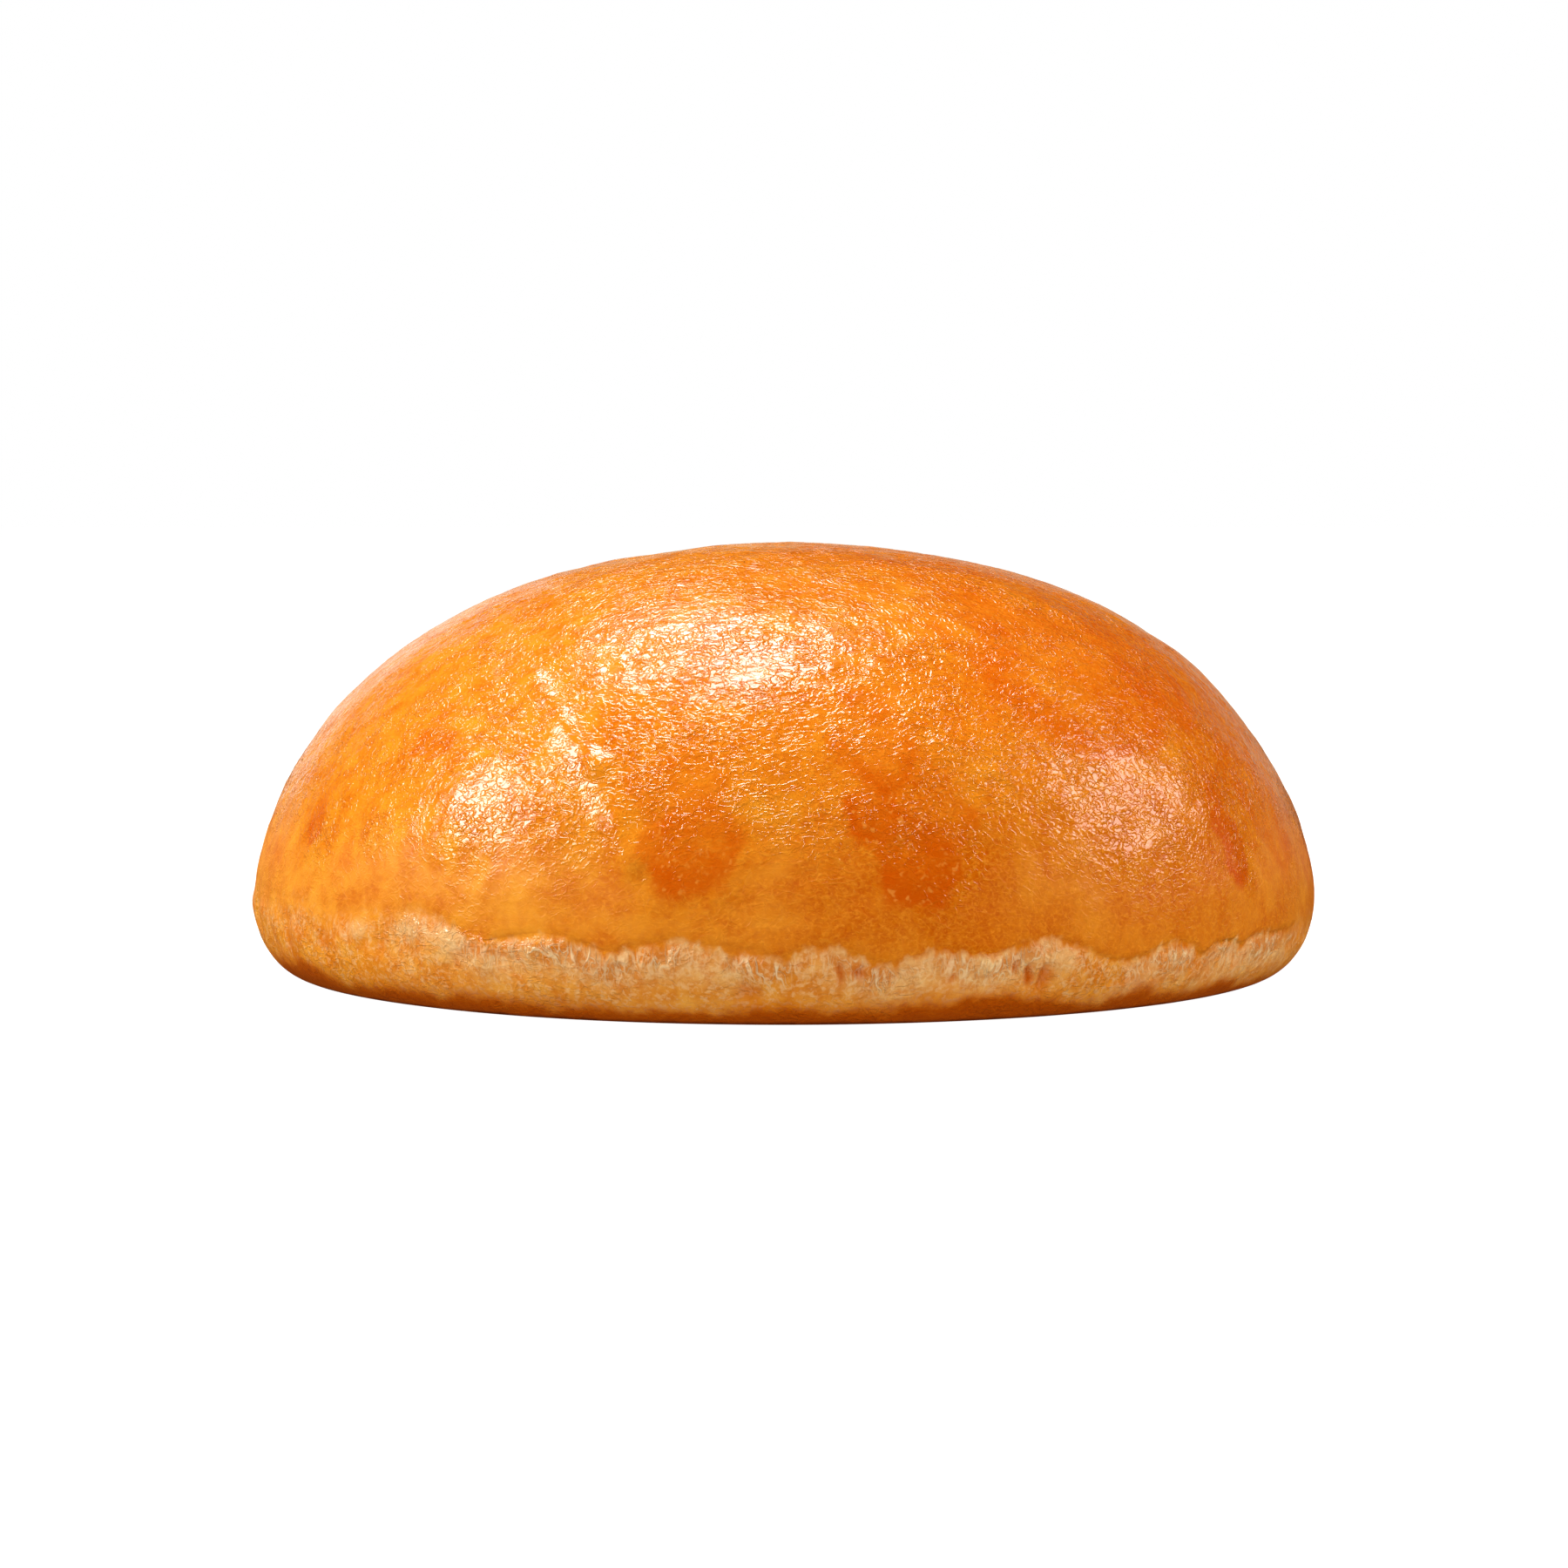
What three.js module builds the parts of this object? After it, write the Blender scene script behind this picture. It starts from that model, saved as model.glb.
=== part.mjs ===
import * as THREE from 'three';

// The top half of a burger bun: a domed, glazed crust that overhangs a pale, pleated waist,
// closed below by the flat face where the bun was sliced.
// Millimetres, +Z up. The cut face lies on Z = 0 and the front of the bun faces -Y.

// Overall size
const WIDTH = 112;
const DEPTH = 110.4;
const HEIGHT = 44.8;

// Outline from the cut face to the crown
const CUT_FACE_RADIUS = 51;
const LIP_HEIGHT = 6.3;
const LIP_ROUND = 1.3;
const WAIST_TUCK = 0.8;
const SHOULDER_POWER = 2.3;
const CROWN_POWER = 1.83;
const UNDERSIDE_POWER = 1.7;

// How the baked shape strays from a true dome
const CROWN_LEAN = 0.75;
const LIP_TILT = 1.3;
const LIP_SWAY = 0.7;
const LIP_STRAY_REACH = 5;
const SWELLS = [
  { lobes: 2, size: 0.3, turn: 0.7 },
  { lobes: 3, size: 0.35, turn: 2.1 },
  { lobes: 5, size: 0.2, turn: 4.0 },
];

// Facets
const ROUND_STEPS = 96;
const WAIST_STEPS = 7;
const LIP_STEPS = 4;
const DOME_STEPS = 20;

const BELLY_RADIUS = WIDTH / 2;

// The waist curls from the edge of the cut face up to its own widest place, under the lip.
function waistOutline() {
  const points = [];
  const reach = BELLY_RADIUS - WAIST_TUCK - CUT_FACE_RADIUS;
  for (let i = 0; i <= WAIST_STEPS; i += 1) {
    const angle = (Math.PI / 2) * (i / WAIST_STEPS);
    const radius = CUT_FACE_RADIUS + reach * Math.sin(angle) ** (2 / UNDERSIDE_POWER);
    points.push(new THREE.Vector2(radius, LIP_HEIGHT * (1 - Math.cos(angle))));
  }
  return points;
}

// The lip is the lower edge of the crust, rolled outwards over the waist.
function lipOutline() {
  const points = [];
  for (let i = 1; i < LIP_STEPS; i += 1) {
    const angle = (Math.PI / 2) * (i / LIP_STEPS);
    const radius = BELLY_RADIUS - WAIST_TUCK * (1 - Math.sin(angle));
    points.push(new THREE.Vector2(radius, LIP_HEIGHT + LIP_ROUND * (1 - Math.cos(angle))));
  }
  return points;
}

// The dome is a superellipse from the belly, just above the lip, to the crown on the axis.
function domeOutline() {
  const points = [];
  const foot = LIP_HEIGHT + LIP_ROUND;
  for (let i = 0; i < DOME_STEPS; i += 1) {
    const angle = (Math.PI / 2) * (i / DOME_STEPS);
    const radius = BELLY_RADIUS * Math.cos(angle) ** (2 / SHOULDER_POWER);
    const height = foot + (HEIGHT - foot) * Math.sin(angle) ** (2 / CROWN_POWER);
    points.push(new THREE.Vector2(radius, height));
  }
  points.push(new THREE.Vector2(0, HEIGHT));
  return points;
}

// How far the lip strays from its mean height at an angle round the bun.
// Zero is the front, and the angle grows towards +X.
function lipStray(turn) {
  return LIP_SWAY * Math.cos(2 * turn) - LIP_TILT * Math.sin(turn);
}

// One at the lip, falling to nothing at the cut face and a little way up the dome.
function lipHold(height) {
  if (height < LIP_HEIGHT) {
    return height / LIP_HEIGHT;
  }
  const above = Math.min((height - LIP_HEIGHT) / LIP_STRAY_REACH, 1);
  return (1 - above) ** 2 * (1 + 2 * above);
}

// Broad swells are strongest half-way up the dome.
function swell(turn, height) {
  const hold = Math.sin((Math.PI * height) / HEIGHT);
  let sum = 0;
  for (const { lobes, size, turn: start } of SWELLS) {
    sum += size * Math.sin(lobes * turn + start);
  }
  return sum * hold;
}

function strayFromRound(geometry) {
  const position = geometry.getAttribute('position');
  const spot = new THREE.Vector3();
  for (let i = 0; i < position.count; i += 1) {
    spot.fromBufferAttribute(position, i);
    const turn = Math.atan2(spot.x, -spot.y);
    const outward = 1 + swell(turn, spot.z) / BELLY_RADIUS;
    const x = spot.x * outward + CROWN_LEAN * (spot.z / HEIGHT) ** 3;
    const y = spot.y * outward * (DEPTH / WIDTH);
    const z = spot.z + lipStray(turn) * lipHold(spot.z);
    position.setXYZ(i, x, y, z);
  }
}

// Brings the body's box back to the stated size, centred on the Z axis.
function fitToSize(geometry) {
  geometry.computeBoundingBox();
  const size = geometry.boundingBox.getSize(new THREE.Vector3());
  const middle = geometry.boundingBox.getCenter(new THREE.Vector3());
  geometry.translate(-middle.x, -middle.y, -geometry.boundingBox.min.z);
  geometry.scale(WIDTH / size.x, DEPTH / size.y, HEIGHT / size.z);
}

function bunTop() {
  const axisStart = new THREE.Vector2(0, 0);
  const outline = [axisStart, ...waistOutline(), ...lipOutline(), ...domeOutline()];
  const geometry = new THREE.LatheGeometry(outline, ROUND_STEPS);
  geometry.rotateX(Math.PI / 2);
  strayFromRound(geometry);
  fitToSize(geometry);
  geometry.computeVertexNormals();
  const crust = new THREE.MeshStandardMaterial({ color: 0xd97f2b, roughness: 0.35, metalness: 0 });
  const mesh = new THREE.Mesh(geometry, crust);
  mesh.name = 'bun_top';
  return mesh;
}

const bun = new THREE.Group();
bun.add(bunTop());

export default bun;
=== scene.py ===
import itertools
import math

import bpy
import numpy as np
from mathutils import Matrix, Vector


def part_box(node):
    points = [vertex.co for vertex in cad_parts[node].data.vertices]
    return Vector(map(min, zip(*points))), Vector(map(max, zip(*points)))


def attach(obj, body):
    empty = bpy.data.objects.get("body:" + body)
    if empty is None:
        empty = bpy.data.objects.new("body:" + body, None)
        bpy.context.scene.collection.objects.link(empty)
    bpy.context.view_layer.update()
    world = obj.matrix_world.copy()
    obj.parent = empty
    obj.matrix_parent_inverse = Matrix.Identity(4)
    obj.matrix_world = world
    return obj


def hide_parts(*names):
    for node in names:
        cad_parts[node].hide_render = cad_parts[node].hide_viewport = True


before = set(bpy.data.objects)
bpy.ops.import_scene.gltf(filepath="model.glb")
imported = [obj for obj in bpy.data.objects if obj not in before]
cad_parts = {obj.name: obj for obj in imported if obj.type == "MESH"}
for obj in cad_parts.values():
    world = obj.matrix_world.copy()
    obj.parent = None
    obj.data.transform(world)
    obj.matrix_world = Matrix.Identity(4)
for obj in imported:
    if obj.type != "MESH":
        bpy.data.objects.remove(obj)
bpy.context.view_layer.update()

# The top half of a burger bun: a glazed dome of crust above a pale, pleated waist, closed below
# by the toasted face where the bun was sliced.
# Lengths are in millimetres until the mesh is made. A turn is an angle round the bun: it is
# zero at the front, which faces -Y, and grows towards +X. In a product such as
# 0.3 * broad_noise(points, 7), the first number is how strong the noise is and the last is how
# large its features are.

MM = 0.001
LOW, HIGH = (np.array(corner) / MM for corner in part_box("bun_top"))
BELLY_RADIUS = (HIGH[0] - LOW[0]) / 2
DEPTH_SHARE = (HIGH[1] - LOW[1]) / (HIGH[0] - LOW[0])
CROWN_HEIGHT = HIGH[2]

# Outline
CUT_FACE_RADIUS = 51.0
BELLY_HEIGHT = 7.6
SHOULDER_POWER = 2.3
CROWN_POWER = 1.83
UNDERSIDE_POWER = 1.7
CROWN_LEAN = 0.75
SWELLS = [(2, 0.3, 0.7), (3, 0.35, 2.1), (5, 0.2, 4.0)]  # lobes round the bun, size, start

# The lip, the lower edge of the crust, and the crease under it
LIP_HEIGHT = 6.9
LIP_TILT = 1.5
LIP_CURL_HEIGHT = 1.6
LIP_CURL_TURN = math.radians(150)
LIP_BULGE = 0.02
LIP_BULGE_REACH = 1.6
WAIST_TOP = 0.5 * LIP_CURL_HEIGHT  # a height above the line of the lip, like the next one
CRUST_COLOUR_END = 0.3 * LIP_CURL_HEIGHT
CREASE_DEPTH = 0.12
FULL_CREASE = 1.1  # how deep a crease the lip has to have before it overhangs fully
CREASE_HEIGHT = 1.8
WAIST_TUCK = 0.05
SOFT_STRETCHES = [  # degrees round the bun, half width in degrees, how smoothly the lip runs in
    (-73, 33, 1.0),
    (92, 25, 0.95),
    (172, 20, 0.7),
]
LIP_BENDS = [  # degrees round the bun, half width in degrees, lift
    (-39, 6, 1.3),
    (-31, 2.5, -0.7),
    (-24, 3, 0.5),
    (-17, 2, -0.8),
    (-10, 3, 0.6),
    (-0.5, 1.6, -0.8),
    (4, 2, 0.5),
    (10.3, 3, -1.1),
    (15.5, 2, 0.5),
    (20.2, 2.2, -0.4),
    (26.5, 4, 1.3),
    (36, 4, -1.2),
    (42.3, 2, 0.3),
    (47.5, 1.5, -1.2),
    (54.5, 1.5, -0.6),
]

# Features of the waist and the crust
PITS = [  # degrees round the bun, height, half width, half height, depth
    (24.8, 4.7, 0.35, 1.3, 0.7),
    (26.5, 4.2, 0.9, 1.3, 0.5),
    (23.2, 5.5, 0.5, 0.8, 0.5),
    (7.2, 5.4, 0.6, 0.6, 0.5),
    (5.6, 5.3, 0.5, 0.8, 0.5),
    (16.8, 4.6, 0.6, 0.6, 0.4),
    (-3.5, 3.4, 1.6, 1.0, 0.3),
    (-34.7, 4.9, 1.5, 1.1, 0.15),
    (-55.2, 6.0, 1.2, 1.1, 0.2),
    (-64.0, 6.2, 1.2, 1.5, 0.2),
    (-44.8, 6.4, 0.9, 0.9, 0.2),
    (112, 4.5, 0.9, 1.2, 0.7),
    (141, 5.0, 0.6, 1.3, 0.7),
    (-160, 4.8, 0.8, 1.1, 0.7),
    (-118, 4.6, 0.5, 1.2, 0.6),
]
FULL_PIT = 0.6
PUFFS = [  # degrees round the bun, height, half width, half height, size
    (-48.1, 7.7, 1.5, 1.1, 0.35),
    (-40.4, 8.2, 1.7, 1.1, 0.40),
    (-34.8, 7.7, 1.9, 1.1, 0.35),
    (-17.0, 6.4, 2.0, 0.8, 0.20),
    (20.1, 5.8, 1.1, 0.8, 0.35),
    (28.6, 5.9, 1.3, 0.9, 0.25),
    (43.6, 5.3, 2.0, 0.9, 0.15),
    (51.0, 5.4, 1.8, 1.2, 0.15),
    (118, 5.2, 1.8, 1.0, 0.35),
    (127, 5.4, 1.5, 0.9, 0.30),
    (-104, 6.3, 1.7, 1.1, 0.35),
    (-142, 6.2, 2.0, 1.0, 0.30),
]
FULL_PUFF = 0.3
PUFF_RISE = 0.7
# lifts the pale puff colour onto the puffs' tops, as painted light
PUFF_LIT_TOP_LIFT = 0.35
STAINS = [  # degrees round the bun, height, half width, half height, strength
    (0.5, 4.2, 4.5, 2.6, 0.9),
    (-3, 1.8, 5.0, 1.2, 0.8),
    (33, 4.0, 4.5, 4.5, 1.0),
    (15, 1.8, 4.0, 1.2, 0.6),
    (-27, 2.5, 4.0, 1.6, 0.6),
    (-62, 3.5, 5.0, 2.6, 0.7),
    (69, 7.0, 2.5, 1.2, 0.9),
    (120, 3.0, 5.0, 2.6, 0.8),
    (-150, 3.5, 5.0, 2.6, 0.8),
]
WET_CREASES = [  # degrees round the bun and height at each end, half width, rise
    (-32.5, 8.0, -27.5, 7.2, 0.4, 0.25),
    (-27.5, 7.2, -21.5, 7.9, 0.4, 0.25),
    (131, 6.2, 139, 5.8, 0.4, 0.2),
    (-112, 7.0, -106, 6.6, 0.4, 0.2),
]
FULL_WET_CREASE = 0.2
FOLDS = [  # degrees round the bun and height at each end, half width, rise
    (-36, 32.5, -21, 24.5, 1.0, 0.34),
    (-21, 24.5, -15, 15.5, 1.2, 0.62),
    (-52, 35.0, -38, 29.0, 1.3, 0.16),
    (28, 37.5, 41, 30.0, 1.2, 0.18),
    (146, 31.0, 163, 21.0, 1.4, 0.25),
    (-121, 33.0, -105, 23.0, 1.3, 0.25),
]

# Baking and glazing
GLAZE_EDGE = 17.0
GLAZE_RUNS = [  # degrees round the bun, half width in degrees, how far the glaze ran down
    (-61, 5, 3.0),
    (-33, 7, 1.5),
    (-9.7, 6.5, 4.8),
    (14, 5.5, 5.0),
    (40, 9, 3.0),
    (56, 1.6, 6.0),
    (84, 6, 3.5),
    (118, 5, 5.0),
    (151, 8, 3.0),
    (-176, 4, 5.5),
    (-140, 9, 3.5),
    (-104, 4, 5.0),
]
SCORCHES = [  # degrees round the bun, height, half width, half height, strength
    (-9.0, 17.9, 5.3, 5.2, 0.7),
    (-12, 24.0, 5.5, 4.5, 0.3),
    (9.4, 20.9, 3.2, 3.8, 0.85),
    (13.8, 16.4, 4.6, 5.0, 0.85),
    (15.5, 21.5, 5.0, 5.0, 0.4),
    (10, 27.5, 5.0, 6.0, 0.45),
    (30, 37.5, 7.0, 5.0, 0.4),
    (42, 33.0, 15.0, 9.0, 0.5),
    (66, 22, 6.5, 10.0, 0.35),
    (58, 33, 8.0, 6.0, 0.5),
    (-62, 18.2, 1.8, 4.5, 0.7),
    (-45, 26.5, 3.6, 3.0, 0.5),
    (54.5, 18.0, 2.4, 7.4, 0.85),
    (122, 19, 5.5, 5.0, 0.8),
    (165, 25, 6.0, 4.0, 0.6),
    (-150, 17, 4.5, 5.0, 0.8),
    (-112, 23, 5.0, 4.0, 0.6),
    (-176, 13, 2.0, 4.0, 0.6),
]

# Mesh
COLUMNS = 576
FINEST_COLUMNS = 18
WAIST_ROWS = 22
LIP_ROWS = 8
DOME_ROW_LENGTH = 0.65
FACE_ROW_LENGTH = 1.1
DOME_START = 9.0  # about how far along the side the dome's rows begin
HALVING_RADIUS = 0.53  # share of the belly's radius inside which half the columns will do

# Finish
SKIN_WRINKLE_SIZE = 0.9
SKIN_BUMP = 0.075
CRUMB_WRINKLE_SIZE = 0.7
CRUMB_BUMP = 0.18
BARE_ROUGHNESS = 0.38
GLAZED_ROUGHNESS = 0.10
WET_ROUGHNESS = 0.13
CRUMB_ROUGHNESS = 0.85
TOASTED_ROUGHNESS = 0.7

# Studio, in metres, watts and degrees, with the lens and its sensor in millimetres
FLOOR_HALF_WIDTH = 3.0
FLOOR_DROP = 0.1 * MM
FLOOR_GREY = 0.25
BACKDROP_GLOW = 0.7
BACKDROP_DIM = 0.02
WHITE = (1.0, 1.0, 1.0, 1.0)
WARM_GLOW = (1.0, 0.82, 0.6, 1.0)
LIGHTS_AIM_HEIGHT = 0.02
FILL_DISTANCE = 1.0
FILL_SIZE = 0.8
FILL_COLOUR = (1.0, 0.99, 0.97)
EVEN_FILL = 1.45
FILLS_IN_A_RING = 5
RING_ELEVATION = 26.6
CAMERA_LENS = 100
CAMERA_SENSOR = 36
CAMERA_ELEVATION = 4.25
CAMERA_DISTANCE = 0.4615
CAMERA_AIM_HEIGHT = 0.0192


# ---------------------------------------------------------------------------- fields


def ease(low, high, value):
    """Nought at low and one at high, with a smooth step between. Low may be the larger."""
    share = np.clip((value - low) / (high - low), 0, 1)
    return share * share * (3 - 2 * share)


def bell(distance):
    """One at no distance, falling smoothly to nothing on both sides."""
    return np.exp(-distance * distance)


def turn_gap(turn, degrees):
    """How far a turn lies from a place given in degrees, the short way round."""
    return (turn - math.radians(degrees) + math.pi) % (2 * math.pi) - math.pi


NOISE_GAIN = 1.6  # brings the noise up to about -1 to 1


def dough_noise(seed):
    """Smooth noise between about -1 and 1. Its features are as large as the size asked for."""
    chance = np.random.default_rng(seed)
    order = np.tile(chance.permutation(256), 3)
    slopes = chance.normal(size=(256, 3))
    slopes /= np.linalg.norm(slopes, axis=1)[:, None]

    def noise(places, size):
        cell, inside = np.divmod(places / size, 1)
        cell = cell.astype(int) & 255
        fade = inside**3 * (inside * (inside * 6 - 15) + 10)
        total = np.zeros(len(places))
        for corner in itertools.product((0, 1), repeat=3):
            i, j, k = ((cell + corner) & 255).T
            slope = slopes[order[order[order[i] + j] + k]]
            share = np.prod(np.where(corner, fade, 1 - fade), axis=1)
            total += share * np.einsum("ij,ij->i", slope, inside - corner)
        return NOISE_GAIN * total

    return noise


broad_noise = dough_noise(11)
fold_noise = dough_noise(23)
fine_noise = dough_noise(37)


def on_belly(turn, height=0.0):
    across, ahead = BELLY_RADIUS * np.sin(turn), -BELLY_RADIUS * np.cos(turn)
    return np.stack([across, ahead, height + 0 * turn], axis=1)


def away_from_front(turn):
    return ease(math.radians(60), math.radians(85), np.abs(turn_gap(turn, 0)))


# ---------------------------------------------------------------------------- outline


def dome_outline():
    """Radius and height along the dome, from the belly to the crown."""
    angle = np.linspace(0, math.pi / 2, 800)
    radius = BELLY_RADIUS * np.cos(angle).clip(0) ** (2 / SHOULDER_POWER)
    height = BELLY_HEIGHT + (CROWN_HEIGHT - BELLY_HEIGHT) * np.sin(angle) ** (2 / CROWN_POWER)
    return radius, height


def body_outline():
    """Length along the side, radius and height, from the rim of the cut face to the crown."""
    drop = 1 - np.linspace(0, 1, 200) ** 2
    under_height = BELLY_HEIGHT * (1 - drop)
    swell = (1 - drop**2) ** (1 / UNDERSIDE_POWER)
    under_radius = CUT_FACE_RADIUS + (BELLY_RADIUS - CUT_FACE_RADIUS) * swell
    dome_radius, dome_height = dome_outline()
    radius = np.concatenate([under_radius[:-1], dome_radius])
    height = np.concatenate([under_height[:-1], dome_height])
    steps = np.hypot(np.diff(radius), np.diff(height))
    return np.concatenate([[0], np.cumsum(steps)]), radius, height


LENGTHS, RADII, HEIGHTS = body_outline()
SIDE_LENGTH = LENGTHS[-1]


def side_radius(height):
    return np.interp(height, HEIGHTS, RADII)


def lip_line(turn):
    """Height of the crust's lower edge."""
    line = LIP_HEIGHT - LIP_TILT * np.sin(turn)
    for degrees, half_width, lift in LIP_BENDS:
        line = line + lift * bell(turn_gap(turn, degrees) / math.radians(half_width))
    belly = on_belly(turn)
    calm = 0.12 * broad_noise(belly, 2.5)
    wild = 0.9 * broad_noise(belly, 7) + 0.5 * broad_noise(belly, 3)
    return line + calm + wild * away_from_front(turn)


def lip_softness(turn):
    """One where the crust runs smoothly into the waist, nought where it stands clear of it."""
    soft = np.zeros_like(turn)
    for degrees, half_width, strength in SOFT_STRETCHES:
        off = np.abs(turn_gap(turn, degrees)) / math.radians(half_width)
        soft = np.maximum(soft, strength * ease(1.2, 0.8, off))
    return soft


def lip_stand(turn, size):
    """A size of the lip that fades away where the lip is soft."""
    return size * (1 - lip_softness(turn))


def crease_depth(turn):
    """How deep the crease under the crust's lower edge is."""
    ragged = 1 + 1.1 * fold_noise(on_belly(turn), 4.0) + 0.5 * fold_noise(on_belly(turn), 1.3)
    return lip_stand(turn, CREASE_DEPTH) * ragged.clip(0.05)


# ---------------------------------------------------------------------------- rings of the mesh


def face_ring(turn, share):
    return CUT_FACE_RADIUS * share + 0 * turn, 0 * turn


def waist_ring(turn, share):
    top = lip_line(turn) + WAIST_TOP
    height = top * share**1.4
    crease = crease_depth(turn) * bell((top - height) / CREASE_HEIGHT)
    tuck = lip_stand(turn, WAIST_TUCK) * ease(0, 2, height)
    return side_radius(height) - crease - tuck, height


def lip_ring(turn, angle):
    """From the top of the waist to the foot of the dome, rolled under where the crease is deep."""
    line = lip_line(turn)
    front = side_radius(line + LIP_CURL_HEIGHT) + lip_stand(turn, LIP_BULGE)
    inner = side_radius(line + WAIST_TOP) - crease_depth(turn) - lip_stand(turn, WAIST_TUCK)
    across = (front - inner) / (1 - math.cos(LIP_CURL_TURN))
    radius = front - across * (1 - math.cos(angle))
    straight = line + LIP_CURL_HEIGHT + (LIP_CURL_HEIGHT - WAIST_TOP) * angle / LIP_CURL_TURN
    rolled = line + LIP_CURL_HEIGHT * (1 + math.sin(angle))
    overhang = (crease_depth(turn) / FULL_CREASE).clip(0, 1)
    return radius, straight + (rolled - straight) * overhang


def dome_ring(turn, share):
    """Rows set out evenly from the top of the lip to the crown."""
    start = np.interp(lip_line(turn) + LIP_CURL_HEIGHT, HEIGHTS, LENGTHS)
    even = start + (SIDE_LENGTH - start) * share
    radius = np.interp(even, LENGTHS, RADII)
    height = np.interp(even, LENGTHS, HEIGHTS)
    bulge = lip_stand(turn, LIP_BULGE) * np.exp(-(even - start) / LIP_BULGE_REACH)
    return radius + bulge, height


def columns_at(radius, most):
    """Fewer columns towards the axis, so that the facets stay about the same size."""
    count = most
    while count > FINEST_COLUMNS and radius < HALVING_RADIUS * BELLY_RADIUS * count / most:
        count //= 2
    return count


def ring_plan():
    """Every ring from the middle of the cut face to the crown: zone, shape, station, columns."""
    plan = []
    face_rows = round(CUT_FACE_RADIUS / FACE_ROW_LENGTH)
    for i in range(1, face_rows + 1):
        share = i / face_rows
        count = columns_at(CUT_FACE_RADIUS * share, COLUMNS // 2)
        if i == face_rows:
            count = COLUMNS
        plan.append(("face", face_ring, share, count))
    for i in range(1, WAIST_ROWS + 1):
        plan.append(("waist", waist_ring, i / WAIST_ROWS, 2 * COLUMNS))
    for i in range(1, LIP_ROWS + 1):
        angle = LIP_CURL_TURN * (i / LIP_ROWS - 1)
        plan.append(("crust", lip_ring, angle, 2 * COLUMNS))
    dome_length = SIDE_LENGTH - DOME_START
    dome_rows = round(dome_length / DOME_ROW_LENGTH)
    for i in range(1, dome_rows):
        share = i / dome_rows
        radius = np.interp(DOME_START + dome_length * share, LENGTHS, RADII)
        plan.append(("crust", dome_ring, share, columns_at(radius, COLUMNS)))
    return plan


def join_rings(lower, upper):
    """Faces between two rings, each given as its first vertex and its number of columns."""
    a, count_a = lower
    b, count_b = upper
    faces = []
    if count_a == count_b:
        for i in range(count_a):
            j = (i + 1) % count_a
            faces.append((a + i, a + j, b + j, b + i))
        return faces
    if count_a == 2 * count_b:
        for i in range(count_b):
            j = (i + 1) % count_b
            left, middle, right = a + 2 * i, a + 2 * i + 1, a + (2 * i + 2) % count_a
            faces += [(left, middle, b + i), (middle, b + j, b + i), (middle, right, b + j)]
        return faces
    for i in range(count_a):
        j = (i + 1) % count_a
        left, middle, right = b + 2 * i, b + 2 * i + 1, b + (2 * i + 2) % count_b
        faces += [(a + i, middle, left), (a + i, a + j, middle), (a + j, right, middle)]
    return faces


def build_rings():
    """Turns, radii, heights, zones and faces of the whole closed skin."""
    turns, radii, heights, zones = [np.zeros(1)], [np.zeros(1)], [np.zeros(1)], [["face"]]
    faces, face_zones = [], []
    last, total = None, 1
    for zone, shape, station, count in ring_plan():
        turn = np.arange(count) * 2 * math.pi / count
        radius, height = shape(turn, station)
        turns.append(turn)
        radii.append(radius)
        heights.append(height)
        zones.append([zone] * count)
        if last is None:
            new = [(0, total + (i + 1) % count, total + i) for i in range(count)]
        else:
            new = join_rings(last, (total, count))
        faces += new
        face_zones += [zone] * len(new)
        last = (total, count)
        total += count
    first, count = last
    faces += [(first + i, first + (i + 1) % count, total) for i in range(count)]
    face_zones += ["crust"] * count
    for parts, crown in ((turns, 0.0), (radii, 0.0), (heights, CROWN_HEIGHT)):
        parts.append(np.array([crown]))
    zones.append(["crust"])
    skin = [np.concatenate(parts) for parts in (turns, radii, heights)]
    return *skin, np.concatenate(zones), faces, np.array(face_zones)


# ---------------------------------------------------------------------------- relief


def place(turn, radius, height):
    """Points of the skin, with the broad swells and the lean of the crown."""
    hold = np.sin(math.pi * (height / CROWN_HEIGHT).clip(0, 1))
    swell = sum(size * np.sin(lobes * turn + start) for lobes, size, start in SWELLS)
    outward = radius * (1 + swell * hold / BELLY_RADIUS)
    x = outward * np.sin(turn) + CROWN_LEAN * (height / CROWN_HEIGHT) ** 3
    y = -outward * np.cos(turn) * DEPTH_SHARE
    return np.stack([x, y, height], axis=1)


def skin_normals(points, faces):
    """The way out of the skin at each vertex. Large faces count for more than small ones."""
    corners = np.array([face if len(face) == 4 else face + face[2:] for face in faces])
    a, b, c, d = (points[corners[:, k]] for k in range(4))
    slant = np.cross(c - a, d - b)
    normals = np.zeros_like(points)
    for k in range(4):
        np.add.at(normals, corners[:, k], slant)
    return normals / np.linalg.norm(normals, axis=1)[:, None].clip(1e-9)


def unrolled(turn, height, degrees):
    """Places on the side laid flat: along the girth from a turn given in degrees, and up it."""
    around = turn_gap(turn, degrees) * side_radius(height)
    return np.stack([around, np.interp(height, HEIGHTS, LENGTHS)], axis=-1)


def fold_rise(turn, height, folds):
    """Low folds, each along a straight line on the unrolled side."""
    total = np.zeros_like(turn)
    for degrees, foot, end_degrees, end, half_width, rise in folds:
        places = unrolled(turn, height, degrees)
        start = unrolled(math.radians(degrees), foot, degrees)
        run = unrolled(math.radians(end_degrees), end, degrees) - start
        share = ((places - start) @ run / (run @ run)).clip(0, 1)
        off = np.linalg.norm(places - start - share[:, None] * run, axis=1)
        total += rise * bell(off / half_width)
    return total


def warp(points):
    """Shifts that make straight creases wander."""
    shift = [fine_noise(points + 17 * axis, 5.0) for axis in range(3)]
    return 2.0 * np.stack(shift, axis=1)


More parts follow.
